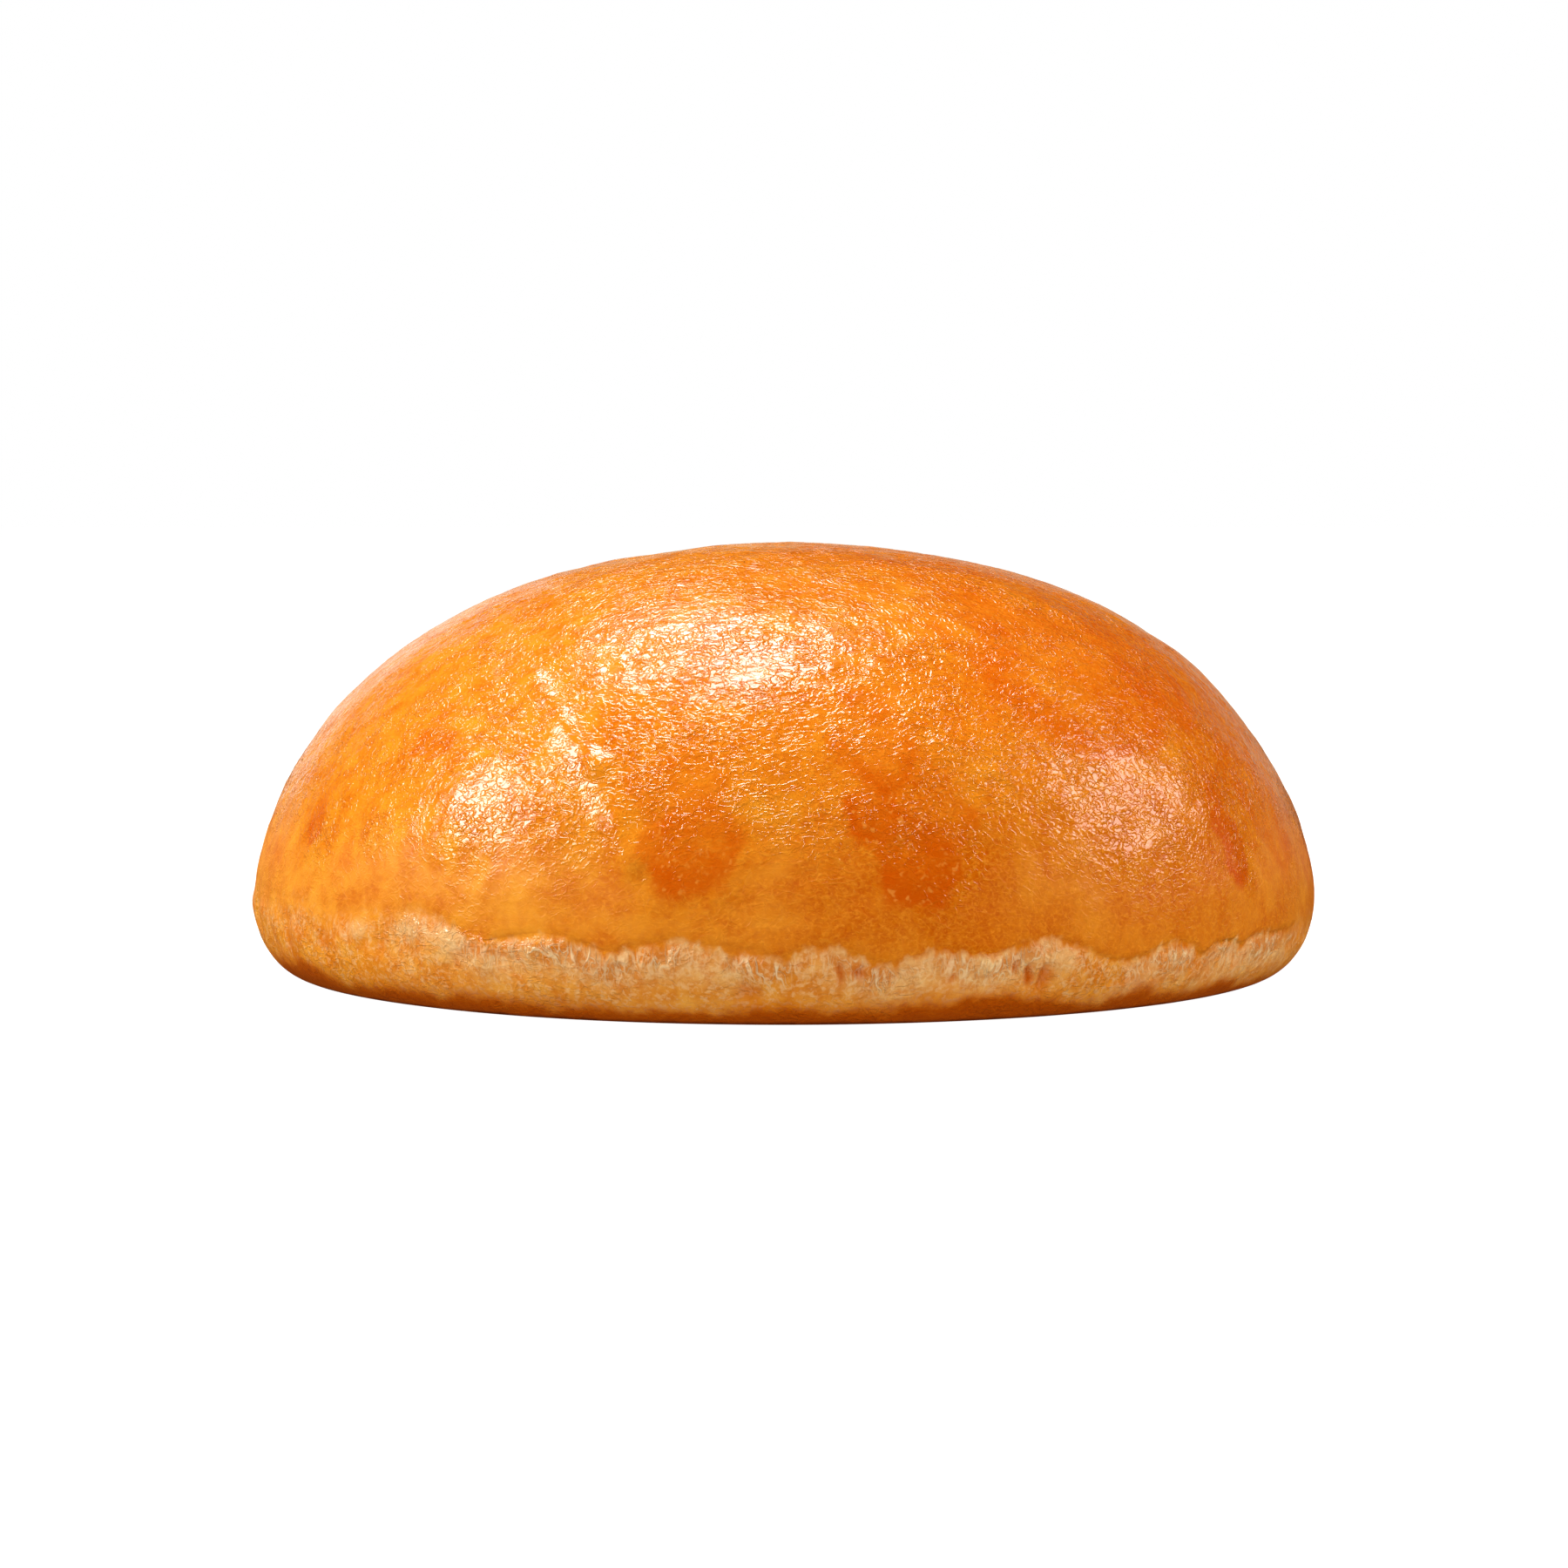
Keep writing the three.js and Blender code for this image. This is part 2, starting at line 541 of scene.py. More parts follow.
def crust_relief(points, turn, height):
    """Dents, folds, and the coarser creases of the glazed skin."""
    dents = 0.28 * broad_noise(points, 17) + 0.14 * broad_noise(points, 7)
    lumps = 0.07 * broad_noise(points + 80, 3.6)
    crease = 1 - np.abs(fine_noise(points + 0.8 * warp(points), 2.6)) * 2.2
    finer = fine_noise(points + 31, 1.5)
    settle = ease(0, 6, height - lip_line(turn))
    folds = fold_rise(turn, height, FOLDS) * (1 + 0.5 * fine_noise(points, 2.0))
    wet_folds = fold_rise(turn, height, WET_CREASES)
    small = (0.05 * crease + 0.03 * finer) * settle
    return (dents + lumps + folds) * settle + small + wet_folds


def spots_of(rows, turn, height):
    """Uneven spots, each at a turn in degrees and a height, with half widths and a size."""
    total = np.zeros_like(turn)
    points = on_belly(turn, height)
    turn = turn + 0.6 * fine_noise(points, 1.6) / BELLY_RADIUS
    height = height + 0.6 * fine_noise(points + 33, 1.6)
    for degrees, at, half_width, half_height, size in rows:
        across = turn_gap(turn, degrees) * BELLY_RADIUS / half_width
        total += size * bell(np.hypot(across, (height - at) / half_height) ** 1.5)
    return total


def puff_cover(turn, height):
    """One in the middle of the small puffs of dough that stand out along the lip.

    It lies a little higher than the puffs do: painted light that makes their upward tops the
    palest.
    """
    return (spots_of(PUFFS, turn, height - PUFF_LIT_TOP_LIFT) / FULL_PUFF).clip(0, 1)


def web_reach(turn, height):
    """Where the torn webs hang: strongest just under the lip, and only along parts of it."""
    below = lip_line(turn) - height
    torn = ease(-0.4, 0.3, broad_noise(on_belly(turn, 40), 5))
    reach = ease(3.6, 0.4, below) * ease(-0.7, 0.1, below)
    return reach * (0.35 + 0.65 * torn) * (1 - 0.7 * lip_softness(turn))


def strands(turn, height):
    """Thin webs of dough that lean together, and fan out downwards from under the lip."""
    below = lip_line(turn) - height
    lean = 0.9 * fold_noise(on_belly(turn), 4.5)
    foot = turn + lean * below / BELLY_RADIUS
    ridge = 1 - 2.8 * np.abs(fine_noise(on_belly(foot, 0.35 * below), 3.0))
    finer = 1 - 2.6 * np.abs(fine_noise(on_belly(foot, 90 + 0.4 * below), 1.8))
    return (ridge.clip(0) + 0.5 * finer.clip(0)) * web_reach(turn, height)


def waist_relief(points, turn, height):
    """Puffy lobes, the webs between them, and fine creases."""
    up = height / lip_line(turn)
    soft = lip_softness(turn)
    fade = ease(-0.8, 0.9, lip_line(turn) - height)
    tall = points * [1, 1, 0.45]
    lobes = (0.22 + 0.14 * soft) * fold_noise(tall, 4.2) + 0.1 * fold_noise(tall, 2.0)
    creases = -0.16 * bell(fold_noise(tall + 50, 2.6) / 0.12)
    upper = ease(0.3, 0.85, up)
    webs = 0.24 * strands(turn, height)
    relief = upper * (lobes + creases) + webs + 0.07 * broad_noise(points, 3) * up.clip(0, 1)
    return relief * fade + fold_rise(turn, height, WET_CREASES)


def crumb_relief(points):
    """Open pores of the crumb, which only ever go up into the bun."""
    radius = np.hypot(points[:, 0], points[:, 1] / DEPTH_SHARE)
    inner = ease(CUT_FACE_RADIUS - 1, CUT_FACE_RADIUS - 5, radius)
    big = ease(0.30, 0.62, fine_noise(points + 5, 4.2))
    small = ease(0.28, 0.6, fine_noise(points + 70, 2.3))
    return inner * (0.9 * big + 0.5 * small)


def shape_skin(turn, radius, height, zone, faces):
    points = place(turn, radius, height)
    normals = skin_normals(points, faces)
    lift = np.zeros(len(points))
    crust, waist, face = (zone == name for name in ("crust", "waist", "face"))
    lift[crust] = crust_relief(points[crust], turn[crust], height[crust])
    lift[waist] = waist_relief(points[waist], turn[waist], height[waist])
    side = crust | waist
    lift[side] += PUFF_RISE * spots_of(PUFFS, turn[side], height[side])
    lift[side] -= spots_of(PITS, turn[side], height[side])
    points[side] += normals[side] * lift[side, None]
    points[face, 2] += crumb_relief(points[face])
    low, high = points.min(0), points.max(0)
    return LOW + (points - low) / (high - low) * (HIGH - LOW)


# ---------------------------------------------------------------------------- baked colours


def glaze_cover(turn, height, points):
    """One where the egg wash lies, nought below its ragged lower edge."""
    edge = GLAZE_EDGE + 1.6 * broad_noise(points, 6) + 0.8 * fine_noise(points, 2)
    for degrees, half_width, run in GLAZE_RUNS:
        off = np.abs(turn_gap(turn, degrees)) / math.radians(half_width)
        edge = edge - run * ease(1.5, 0.4, off)
    return ease(-4.0, 4.5, height - edge)


def bake_level(turn, height, points):
    """Nought where the crust stayed golden, one where the oven took it to deep orange."""
    ahead = turn_gap(turn, 0)
    side = 0.42 + 0.46 * np.sin(1.3 * ahead) * bell(ahead / 2)
    level = side + 0.3 * broad_noise(points, 24) + 0.25 * broad_noise(points + 60, 9)
    deep_front = 0.45 * bell(turn_gap(turn, 8) / 0.3) * bell((height - 12) / 6)
    gold_front = 0.3 * bell(turn_gap(turn, -38) / 0.55) * bell((height - 9) / 5)
    return (level + deep_front - gold_front).clip(0, 1)


def scorch(turn, height, points):
    """Places where the egg wash pooled and browned, darkest along their lower edges."""
    shifted = turn + 0.024 * fine_noise(points, 4.5) + 0.01 * fine_noise(points + 9, 1.4)
    raised = height + 1.3 * fine_noise(points + 40, 4.0) + 0.4 * fine_noise(points + 49, 1.3)
    total = np.zeros_like(turn)
    for degrees, at, half_width, half_height, strength in SCORCHES:
        across = turn_gap(shifted, degrees) * BELLY_RADIUS / half_width
        up = (raised - at) / half_height
        fade = 0.22 + 0.6 * ease(-0.3, 0.8, up)
        off = np.hypot(across, up)
        rim = bell((off - 0.85) / 0.25) * ease(0.4, -0.3, up)
        brown = strength * ease(1.1, 1.1 - fade, off) * (0.75 + 0.45 * rim)
        total += brown * (1 - total).clip(0)
    return total


def toasted_and_shaded_edge(turn, height, points):
    """Browning that climbs from the rim of the cut face, higher in some places.

    It also holds painted shade where the side curls under towards the floor, darkest in a thin
    line at the very bottom, which is partly a burnt rim.
    """
    deeper = 0.7 * bell(turn_gap(turn, -41) / 0.3) + 0.35 * bell(turn_gap(turn, 34) / 0.25)
    reach = 1.0 + deeper + 1.5 * broad_noise(points, 9).clip(-0.4) + 0.6 * fine_noise(points, 2)
    # painted shade along the very bottom edge, with some burnt rim in it
    rim_shade_and_burn = ease(0.55, 0.1, height + 0.15 * fine_noise(points + 12, 2))
    return ease(reach + 2.4, reach.clip(0.4) - 0.6, height) + rim_shade_and_burn


def below_lip(turn, height, points):
    """How far below the crust's lower edge, which wanders more where the lip is soft."""
    soft = lip_softness(turn)
    ragged = (0.2 + 0.8 * soft) * fine_noise(points, 1.7) + soft * broad_noise(points, 5)
    return (lip_line(turn) + CRUST_COLOUR_END - height + ragged).clip(-9, 9)


def wetness(turn, height, points):
    """Places near the lip where egg wash ran and dried to a gloss."""
    creases = fold_rise(turn, height, WET_CREASES) / FULL_WET_CREASE
    spots = ease(0.3, 0.7, broad_noise(points + 120, 4.0)) * bell((lip_line(turn) - height) / 1.5)
    return (puff_cover(turn, height) + creases + 0.6 * spots).clip(0, 1)


def stained(turn, height, points):
    """Golden places on the pale waist, where egg wash or oil soaked in."""
    shifted = turn + 0.03 * fine_noise(points + 21, 2.2)
    return spots_of(STAINS, shifted, height + 0.6 * fine_noise(points + 28, 1.8)).clip(0, 1)


def crease_glaze_and_shade(turn, height, points):
    """The crease under the lip, tinted orange: glaze gathered there in places, and painted shade.
    """
    below = lip_line(turn) - height + 0.3 * fine_noise(points, 1.4)
    glaze_and_shade = ease(-0.5, 0.5, broad_noise(on_belly(turn, 70), 4))
    return bell((below - 0.3) / 0.7) * (0.35 + 0.65 * glaze_and_shade) * (1 - 0.6 * lip_softness(turn))


def face_toast(points):
    """Toasting of the cut face, strongest in a ring near its rim."""
    radius = np.hypot(points[:, 0], points[:, 1] / DEPTH_SHARE) / CUT_FACE_RADIUS
    ring = ease(0.72, 0.99, radius)
    patches = 0.5 + 0.5 * broad_noise(points, 13) + 0.25 * broad_noise(points, 5)
    return (0.35 * patches + 0.75 * ring).clip(0, 1)


def skin_marks(turn, height, zone, points):
    """What the materials read from the mesh, one value at each vertex."""
    return {
        "glaze": glaze_cover(turn, height, points),
        "bake": bake_level(turn, height, points),
        "scorch": scorch(turn, height, points),
        "edge_toast_and_shade": toasted_and_shaded_edge(turn, height, points),
        "pit": (spots_of(PITS, turn, height) / FULL_PIT).clip(0, 1),
        "stain": stained(turn, height, points),
        "soft_side": lip_softness(turn),
        "below_lip": below_lip(turn, height, points),
        "crease_glaze_and_shade": crease_glaze_and_shade(turn, height, points),
        "web_reach": web_reach(turn, height),
        "puff": puff_cover(turn, height),
        "wet": wetness(turn, height, points),
        "face_toast": np.where(zone == "face", face_toast(points), 1.0),
    }


# ---------------------------------------------------------------------------- shader helpers


def tone(red, green, blue):
    """A colour given as 0 to 255 display values, as the linear values that shaders take."""
    shares = [value / 255 for value in (red, green, blue)]
    linear = [s / 12.92 if s <= 0.04045 else ((s + 0.055) / 1.055) ** 2.4 for s in shares]
    return (*linear, 1.0)


def add_node(tree, kind, inputs=None, **settings):
    """Adds a node. Inputs are given by name or number, as a value or as a socket to link."""
    node = tree.nodes.new(kind)
    for name, value in settings.items():
        setattr(node, name, value)
    for key, value in (inputs or {}).items():
        if isinstance(value, bpy.types.NodeSocket):
            tree.links.new(value, node.inputs[key])
        else:
            node.inputs[key].default_value = value
    return node


def mark(tree, name):
    return add_node(tree, "ShaderNodeAttribute", attribute_name=name).outputs["Fac"]


def math_of(tree, operation, first, second=0.5, clamp=False):
    inputs = {0: first, 1: second}
    return add_node(tree, "ShaderNodeMath", inputs, operation=operation, use_clamp=clamp).outputs[0]


def times(tree, first, second, clamp=False):
    return math_of(tree, "MULTIPLY", first, second, clamp)


def plus(tree, first, second, clamp=False):
    return math_of(tree, "ADD", first, second, clamp)


def larger(tree, first, second):
    return math_of(tree, "MAXIMUM", first, second)


def mix_colours(tree, share, first, second):
    inputs = {"Factor": share, 6: first, 7: second}
    return add_node(tree, "ShaderNodeMix", inputs, data_type="RGBA").outputs[2]


def mix_numbers(tree, share, first, second):
    return add_node(tree, "ShaderNodeMix", {"Factor": share, 2: first, 3: second}).outputs[0]


def map_range(tree, value, low, high, to_low=0.0, to_high=1.0):
    inputs = {"Value": value, "From Min": low, "From Max": high}
    inputs |= {"To Min": to_low, "To Max": to_high}
    return add_node(tree, "ShaderNodeMapRange", inputs).outputs["Result"]


def noise_of(tree, places, scale, detail=2.0, roughness=0.5, distortion=0.0):
    inputs = {
        "Vector": places,
        "Scale": scale,
        "Detail": detail,
        "Roughness": roughness,
        "Distortion": distortion,
    }
    return add_node(tree, "ShaderNodeTexNoise", inputs).outputs["Fac"]


def millimetre_places(tree):
    """The object's own coordinates, in millimetres."""
    where = add_node(tree, "ShaderNodeTexCoord").outputs["Object"]
    inputs = {0: where, "Scale": 1 / MM}
    return add_node(tree, "ShaderNodeVectorMath", inputs, operation="SCALE").outputs[0]


def upright(tree, places, share):
    """Places pressed flat upwards, so that what is drawn on them stretches up and down."""
    inputs = {0: places, 1: (1, 1, share)}
    return add_node(tree, "ShaderNodeVectorMath", inputs, operation="MULTIPLY").outputs[0]


def new_group(name, inputs, outputs):
    group = bpy.data.node_groups.new(name, "ShaderNodeTree")
    for label, kind, value in inputs:
        socket = group.interface.new_socket(label, in_out="INPUT", socket_type=kind)
        if value is not None:
            socket.default_value = value
    for label, kind in outputs:
        group.interface.new_socket(label, in_out="OUTPUT", socket_type=kind)
    given = group.nodes.new("NodeGroupInput").outputs
    made = group.nodes.new("NodeGroupOutput").inputs
    return group, given, made


def use_group(tree, group, inputs):
    return add_node(tree, "ShaderNodeGroup", inputs, node_tree=group).outputs


def oven_mottle():
    """Uneven browning in soft blotches, and the fine speckle inside them."""
    inputs = [
        ("Places", "NodeSocketVector", None),
        ("Blotch Size", "NodeSocketFloat", 6.0),
        ("Speckle Size", "NodeSocketFloat", 0.8),
    ]
    outputs = [("Blotches", "NodeSocketFloat"), ("Speckle", "NodeSocketFloat")]
    group, given, made = new_group("oven_mottle", inputs, outputs)
    places = given["Places"]
    for size, label, detail in (("Blotch Size", "Blotches", 3.0), ("Speckle Size", "Speckle", 2.0)):
        scale = math_of(group, "DIVIDE", 1.0, given[size])
        noise = noise_of(group, places, scale, detail=detail, roughness=0.6, distortion=0.4)
        group.links.new(map_range(group, noise, 0.32, 0.68), made[label])
    return group


def crests(tree, places, scale, distortion, width):
    """Narrow crests that wander, one on their ridge and nought between them."""
    wander = noise_of(tree, places, scale, detail=0.0, distortion=distortion)
    folded = math_of(tree, "ABSOLUTE", math_of(tree, "SUBTRACT", wander, 0.5))
    crest = map_range(tree, folded, 0.0, width, 1.0, 0.0)
    crest.node.interpolation_type = "SMOOTHSTEP"
    return crest


def skin_wrinkles():
    """Worm-like wrinkles: crests of two sizes over soft swells, bolder in some places."""
    inputs = [("Places", "NodeSocketVector", None), ("Size", "NodeSocketFloat", 1.0)]
    outputs = [("Height", "NodeSocketFloat"), ("Crests", "NodeSocketFloat")]
    group, given, made = new_group("skin_wrinkles", inputs, outputs)
    places = given["Places"]
    scale = math_of(group, "DIVIDE", 1.0, given["Size"])
    soft = noise_of(group, places, times(group, scale, 0.6), detail=1.0)
    flat = upright(group, places, 1.4)
    long = crests(group, flat, times(group, scale, 0.75), 0.6, 0.10)
    short = crests(group, flat, times(group, scale, 1.3), 0.5, 0.12)
    long_share = times(group, long, 0.55)
    both = plus(group, long_share, times(group, short, 0.42))
    clusters = noise_of(group, places, times(group, scale, 0.16), detail=1.0)
    bold = map_range(group, clusters, 0.35, 0.65, 0.55, 1.6)
    total = plus(group, times(group, soft, 1.6), both)
    group.links.new(times(group, total, bold), made["Height"])
    group.links.new(both, made["Crests"])
    return group


def new_material(name):
    material = bpy.data.materials.new(name)
    material.use_nodes = True
    tree = material.node_tree
    shader = next(node for node in tree.nodes if node.type == "BSDF_PRINCIPLED")
    return material, tree, shader


def finish_shader(tree, shader, colour, roughness, height, depth):
    """Links what changes over the surface. Depth, in millimetres, scales the relief."""
    tree.links.new(colour, shader.inputs["Base Color"])
    tree.links.new(roughness, shader.inputs["Roughness"])
    inputs = {"Strength": 1.0, "Distance": depth * MM, "Height": height}
    bump = add_node(tree, "ShaderNodeBump", inputs)
    tree.links.new(bump.outputs["Normal"], shader.inputs["Normal"])


# ---------------------------------------------------------------------------- materials


PALE_DOUGH = tone(252, 200, 126)
PALE_DOUGH_BAKED = tone(230, 152, 76)
GOLDEN_DOUGH = tone(248, 164, 50)
GOLDEN_DOUGH_BAKED = tone(228, 128, 20)
# partly glaze, partly painted shade: the orange of the crease under the lip
CREASE_GLAZE_AND_SHADE = tone(222, 116, 14)
WEB_GAP = tone(216, 112, 16)
WEB = tone(255, 222, 172)
DOUGH_DAB = tone(222, 120, 20)
DOUGH_FLECK = tone(255, 212, 150)
# the puffs' pale dough, laid highest on their tops as painted light too
PUFF = tone(255, 212, 144)
PIT = tone(212, 98, 4)
# toasting together with painted shade towards the bottom edge, darkest in a thin line at the very
# bottom
TOAST_ORANGE_AND_SHADE = tone(206, 98, 2)
TOAST_BROWN_AND_SHADE = tone(176, 72, 2)
TOAST_DARK_AND_SHADE = tone(112, 38, 0)
BARE_GOLD = tone(250, 166, 52)
BARE_ORANGE = tone(206, 98, 6)
GLAZED_GOLD = tone(236, 150, 34)
GLAZED_ORANGE = tone(202, 86, 0)
CRUST_BLOTCH = tone(196, 76, 0)
CRUST_FLECK = tone(238, 138, 6)
CRUST_GRAIN = tone(246, 158, 44)
CRUST_FIBRE = tone(246, 156, 40)
SCORCHED = tone(208, 82, 0)
# painted glints: the pale specks of shine inside the scorched patches
PAINTED_GLINT = tone(250, 170, 70)
CRUMB_PALE = tone(246, 226, 184)
CRUMB_CREAM = tone(238, 208, 152)
CRUMB_GOLDEN = tone(214, 150, 74)
CRUMB_BROWN = tone(142, 70, 20)


def hanging_webs(tree, places):
    """The thin upright webs that dough leaves where it is stretched and torn."""
    tall = upright(tree, places, 0.35)
    bold = crests(tree, tall, 0.8, 1.0, 0.07)
    thin = times(tree, crests(tree, tall, 1.7, 0.8, 0.08), 0.7)
    return larger(tree, bold, thin)


def waist_colour(tree, places, spots, webs):
    """Pale dough, golden in places, with whiter webs, darker pits and a toasted lower edge.

    Painted shade darkens it lower down, in the crease under the lip and along the bottom edge,
    and painted light pales the tops of the puffs.
    """
    reach = mark(tree, "web_reach")
    pale = mix_colours(tree, spots["Blotches"], PALE_DOUGH, PALE_DOUGH_BAKED)
    gold = mix_colours(tree, spots["Blotches"], GOLDEN_DOUGH, GOLDEN_DOUGH_BAKED)
    patches = map_range(tree, noise_of(tree, upright(tree, places, 0.6), 0.2), 0.5, 0.64, 0.0, 0.8)
    # painted shade: the waist turns golden-orange lower down, where it faces the floor
    lower = map_range(tree, mark(tree, "below_lip"), 1.5, 4.5, 0.0, 0.85)
    golden = larger(tree, mark(tree, "soft_side"), mark(tree, "stain"))
    golden = larger(tree, golden, larger(tree, patches, lower))
    colour = mix_colours(tree, golden, pale, gold)
    # painted shade under the crust's edge, together with glaze gathered in the crease
    glaze_and_shade = times(tree, mark(tree, "crease_glaze_and_shade"), 0.6)
    colour = mix_colours(tree, glaze_and_shade, colour, CREASE_GLAZE_AND_SHADE)
    gaps = times(tree, math_of(tree, "SUBTRACT", 1.0, webs), reach)
    colour = mix_colours(tree, times(tree, gaps, 0.48), colour, WEB_GAP)
    hung = times(tree, times(tree, webs, reach), 0.85)
    colour = mix_colours(tree, hung, colour, WEB)
    dabs = noise_of(tree, places, 0.75, detail=3.0, roughness=0.6)
    colour = mix_colours(tree, map_range(tree, dabs, 0.5, 0.64, 0.0, 0.55), colour, DOUGH_DAB)
    flecks = map_range(tree, spots["Speckle"], 0.5, 1.0, 0.0, 0.5)
    colour = mix_colours(tree, flecks, colour, DOUGH_FLECK)
    # the puffs' own pale dough, placed on their tops as painted light
    puff = times(tree, mark(tree, "puff"), 0.5)
    colour = mix_colours(tree, puff, colour, PUFF)
    colour = mix_colours(tree, mark(tree, "pit"), colour, PIT)
    # toasting of the lower edge, together with painted shade where the side curls under
    toast = mark(tree, "edge_toast_and_shade")
    toast = plus(tree, toast, map_range(tree, spots["Speckle"], 0.0, 1.0, -0.12, 0.12))
    orange = map_range(tree, toast, 0.05, 0.9)
    colour = mix_colours(tree, orange, colour, TOAST_ORANGE_AND_SHADE)
    colour = mix_colours(tree, map_range(tree, toast, 0.5, 1.1), colour, TOAST_BROWN_AND_SHADE)
    return mix_colours(tree, map_range(tree, toast, 1.1, 1.9), colour, TOAST_DARK_AND_SHADE)


def baked_skin(mottle, wrinkles):
    """The crust, from golden and bare to deep orange and glazed, and the waist below it."""
    material, tree, shader = new_material("baked_skin")
    places = millimetre_places(tree)
    broad = use_group(tree, mottle, {"Places": places, "Blotch Size": 9.0, "Speckle Size": 1.1})
    close = use_group(tree, mottle, {"Places": places, "Blotch Size": 3.0, "Speckle Size": 0.55})
    glaze = mark(tree, "glaze")
    blotch = map_range(tree, broad["Blotches"], 0.0, 1.0, -0.2, 0.2)
    bake = plus(tree, mark(tree, "bake"), blotch, clamp=True)
    bare = mix_colours(tree, bake, BARE_GOLD, BARE_ORANGE)
    washed = mix_colours(tree, bake, GLAZED_GOLD, GLAZED_ORANGE)
    colour = mix_colours(tree, glaze, bare, washed)
    worms = use_group(tree, wrinkles, {"Places": places, "Size": SKIN_WRINKLE_SIZE})
    dull = times(tree, close["Blotches"], 0.7)
    colour = mix_colours(tree, dull, colour, CRUST_BLOTCH)
    flecks = times(tree, close["Speckle"], 0.35)
    colour = mix_colours(tree, flecks, colour, CRUST_FLECK)
    grain = noise_of(tree, upright(tree, places, 1.4), 2.4, detail=2.0, distortion=0.5)
    colour = mix_colours(tree, map_range(tree, grain, 0.52, 0.7, 0.0, 0.45), colour, CRUST_GRAIN)
    fibres = times(tree, worms["Crests"], 0.3)
    colour = mix_colours(tree, fibres, colour, CRUST_FIBRE)
    brown = map_range(tree, close["Blotches"], 0.0, 1.0, 0.7, 1.0)
    brown = times(tree, mark(tree, "scorch"), brown, clamp=True)
    colour = mix_colours(tree, brown, colour, SCORCHED)
    # painted glints: pale specks scattered inside the scorched patches, where shine would catch
    painted_glints = noise_of(tree, places, 1.5, detail=1.0)
    painted_glints = times(tree, map_range(tree, painted_glints, 0.6, 0.72, 0.0, 0.5), brown)
    colour = mix_colours(tree, painted_glints, colour, PAINTED_GLINT)
    webs = hanging_webs(tree, places)
    comb = noise_of(tree, upright(tree, places, 0.5), 0.9, detail=2.0)
    below = plus(tree, mark(tree, "below_lip"), map_range(tree, comb, 0.3, 0.7, -0.6, 0.6))
    spread = map_range(tree, mark(tree, "soft_side"), 0.0, 1.0, 0.4, 1.8)
    waist = map_range(tree, below, times(tree, spread, -1.0), spread)
    colour = mix_colours(tree, waist, colour, waist_colour(tree, places, close, webs))
    wet = mark(tree, "wet")
    dry = map_range(tree, glaze, 0.0, 0.8, BARE_ROUGHNESS, GLAZED_ROUGHNESS)
    roughness = mix_numbers(tree, wet, dry, WET_ROUGHNESS)
    shader.inputs["Specular IOR Level"].default_value = 0.5
    calm = map_range(tree, mark(tree, "scorch"), 0.0, 1.0, 1.0, 0.8)
    amount = map_range(tree, glaze, 0.0, 1.0, 0.35, 1.0)
    amount = larger(tree, amount, wet)
    amount = larger(tree, amount, times(tree, waist, 0.8))
    height = times(tree, worms["Height"], amount)
    height = times(tree, height, calm)
    hung = times(tree, webs, mark(tree, "web_reach"))
    height = plus(tree, height, times(tree, hung, 1.3))
    finish_shader(tree, shader, colour, roughness, height, SKIN_BUMP)
    return material


def toasted_crumb(mottle, wrinkles):
    """The cut face: soft crumb, browned towards its rim."""
    material, tree, shader = new_material("toasted_crumb")
    places = millimetre_places(tree)
    spots = use_group(tree, mottle, {"Places": places, "Blotch Size": 3.0, "Speckle Size": 0.7})
    colour = mix_colours(tree, spots["Blotches"], CRUMB_PALE, CRUMB_CREAM)
    toast = mark(tree, "face_toast")
    toast = times(tree, toast, map_range(tree, spots["Speckle"], 0, 1, 0.7, 1.0))
    golden = times(tree, toast, 1.6, clamp=True)
    colour = mix_colours(tree, golden, colour, CRUMB_GOLDEN)
    dark = map_range(tree, toast, 0.6, 1.0)
    colour = mix_colours(tree, dark, colour, CRUMB_BROWN)
    roughness = map_range(tree, toast, 0.0, 1.0, CRUMB_ROUGHNESS, TOASTED_ROUGHNESS)
    inputs = {"Vector": places, "Scale": 0.9}
    cells = add_node(tree, "ShaderNodeTexVoronoi", inputs, feature="SMOOTH_F1")
    fine = use_group(tree, wrinkles, {"Places": places, "Size": CRUMB_WRINKLE_SIZE})["Height"]
    height = plus(tree, times(tree, cells.outputs["Distance"], -1.0), fine)
    finish_shader(tree, shader, colour, roughness, height, CRUMB_BUMP)
    return material


# ---------------------------------------------------------------------------- the baked bun


def disc_uvs(turn, reach, centre, radius, mirrored=False):
    sign = -1 if mirrored else 1
    u = centre[0] + sign * radius * reach * np.sin(turn)
    v = centre[1] - radius * reach * np.cos(turn)
    return np.stack([u, v], axis=1)


def add_uvs(mesh, turn, radius, height, face_zones):
    """Two flat discs: the side unrolled from the crown outwards, and the cut face beside it."""
    reach = 1 - np.interp(height, HEIGHTS, LENGTHS) / SIDE_LENGTH
    side = disc_uvs(turn, reach, (0.45, 0.55), 0.44)
    face = disc_uvs(turn, radius / CUT_FACE_RADIUS, (0.86, 0.14), 0.13, mirrored=True)
    layer = mesh.uv_layers.new(name="OFBake")
    loops = np.empty(len(mesh.loops), dtype=np.int32)
    mesh.loops.foreach_get("vertex_index", loops)
    sizes = np.empty(len(mesh.polygons), dtype=np.int32)
    mesh.polygons.foreach_get("loop_total", sizes)
    on_face = np.repeat(face_zones == "face", sizes)
    layer.data.foreach_set("uv", np.where(on_face[:, None], face[loops], side[loops]).ravel())


